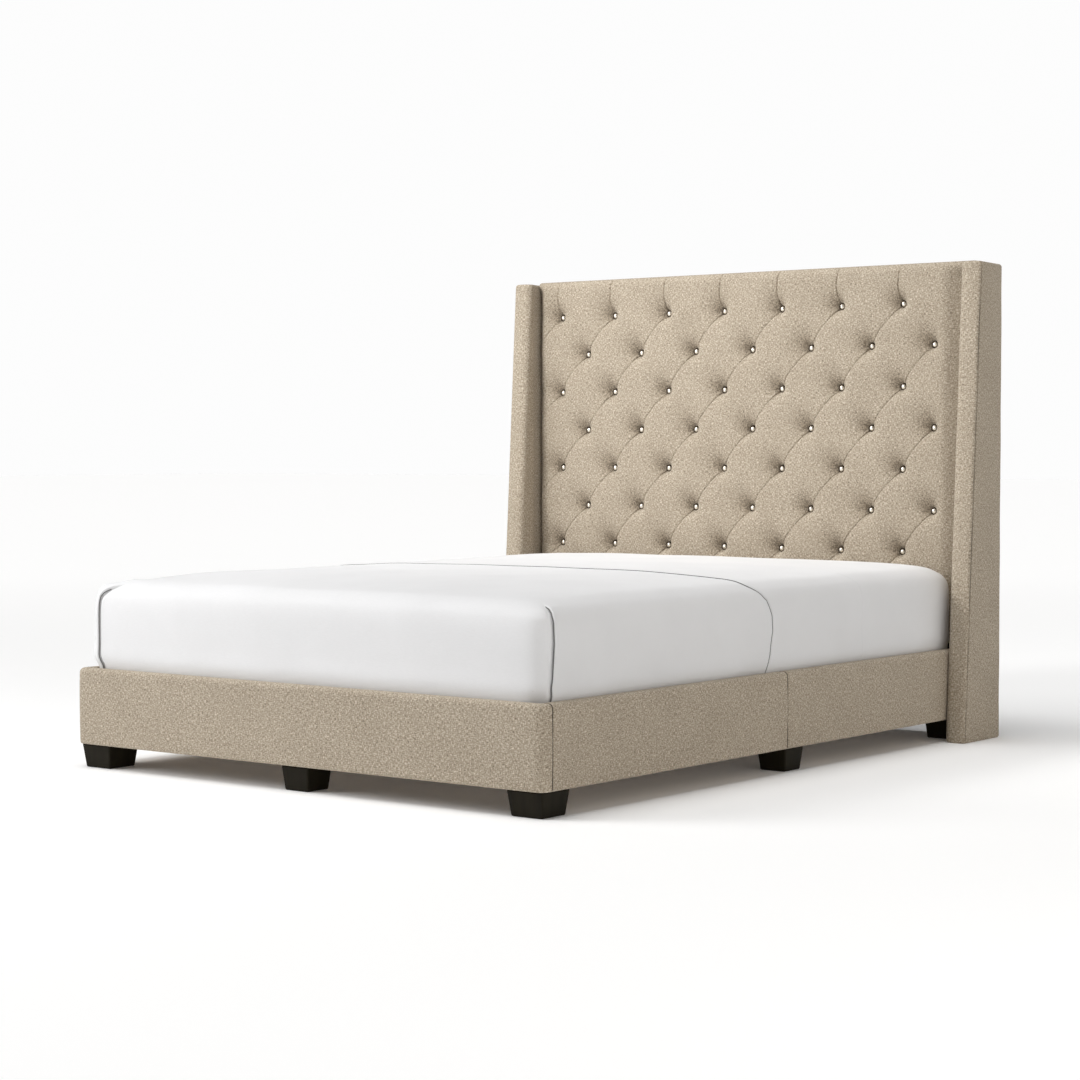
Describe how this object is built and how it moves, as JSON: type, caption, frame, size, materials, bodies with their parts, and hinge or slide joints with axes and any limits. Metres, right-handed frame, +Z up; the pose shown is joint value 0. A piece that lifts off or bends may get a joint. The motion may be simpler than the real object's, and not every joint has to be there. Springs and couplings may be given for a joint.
{
  "type": "upholstered headboard bed",
  "caption": "Upholstered platform bed with a tall button-tufted headboard, side wings to the floor, padded rails, block legs and a dressed mattress.",
  "frame": {"origin": "on the floor, under the middle of the bed's box", "axes": "+X across the bed towards the right side seen from the foot, +Y from the foot towards the headboard, +Z up"},
  "size_m": [1.736, 2.15, 1.421],
  "materials": {
    "linen": "matte",
    "dust_cloth": "matte",
    "plywood": "matte",
    "pine": "matte",
    "espresso": "satin",
    "steel": "satin",
    "ticking": "matte",
    "cotton": "matte"
  },
  "bodies": {
    "bed_frame": {"beam_hanger_foot": "steel", "beam_hanger_head": "steel", "centre_beam": "pine", "centre_leg_foot": "steel", "centre_leg_head": "steel", "foot_corner_bracket_left": "steel", "foot_corner_bracket_right": "steel", "foot_rail_board": "plywood", "foot_rail_cover": "linen", "headboard_back_cover": "dust_cloth", "headboard_bottom_rail": "pine", "headboard_panel": "plywood", "headboard_post_left": "pine", "headboard_post_right": "pine", "headboard_top_rail": "pine", "headboard_tufted_pad": "linen", "leg_foot_left": "espresso", "leg_foot_middle": "espresso", "leg_foot_right": "espresso", "leg_head_left": "espresso", "leg_head_right": "espresso", "leg_side_left": "espresso", "leg_side_right": "espresso", "post_slot_plate_left": "steel", "post_slot_plate_right": "steel", "rail_hook_plate_left": "steel", "rail_hook_plate_right": "steel", "rail_joining_plate_left": "steel", "rail_joining_plate_right": "steel", "side_rail_left_foot_board": "plywood", "side_rail_left_foot_cover": "linen", "side_rail_left_head_board": "plywood", "side_rail_left_head_cover": "linen", "side_rail_right_foot_board": "plywood", "side_rail_right_foot_cover": "linen", "side_rail_right_head_board": "plywood", "side_rail_right_head_cover": "linen", "slat_01": "pine", "slat_02": "pine", "slat_03": "pine", "slat_04": "pine", "slat_05": "pine", "slat_06": "pine", "slat_07": "pine", "slat_08": "pine", "slat_09": "pine", "slat_10": "pine", "slat_11": "pine", "slat_12": "pine", "slat_ledger_left_foot": "pine", "slat_ledger_left_head": "pine", "slat_ledger_right_foot": "pine", "slat_ledger_right_head": "pine", "wing_cover_left": "linen", "wing_cover_right": "linen", "wing_frame_left": "plywood", "wing_frame_right": "plywood"},
    "mattress": {"mattress": "ticking", "fitted_sheet": "cotton", "flat_sheet": "cotton"}
  },
  "joints": [
    {"name": "mattress_lift", "type": "slide", "parent": "bed_frame", "child": "mattress", "axis": [0, 0, 1], "range_m": [0, 0.35]}
  ]
}
